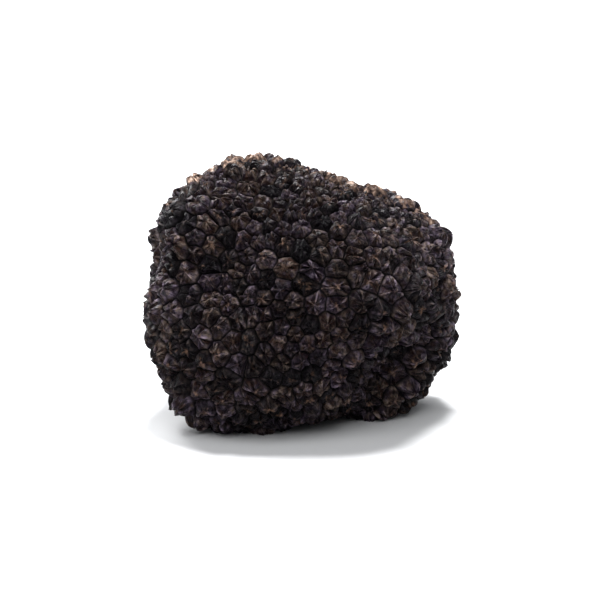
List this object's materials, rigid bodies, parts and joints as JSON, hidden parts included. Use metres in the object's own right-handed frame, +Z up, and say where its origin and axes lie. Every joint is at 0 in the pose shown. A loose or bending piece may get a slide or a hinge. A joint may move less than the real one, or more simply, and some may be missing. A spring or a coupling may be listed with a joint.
{
  "type": "black truffle",
  "caption": "Whole black truffle: a rounded, lobed fungus body with a dark rind of angular warts, lying on the levelled warts of its underside.",
  "frame": {"origin": "on the ground, under the middle of the truffle's bounding box", "axes": "+X along the truffle's length, to the right as seen from its front; +Y to its back; +Z up"},
  "size_m": [0.06, 0.054, 0.0495],
  "materials": {
    "rind": "dry matt rind, near black with brown and tan flecks at the warts' tips"
  },
  "bodies": {
    "root": {"truffle": "rind"}
  },
  "joints": []
}
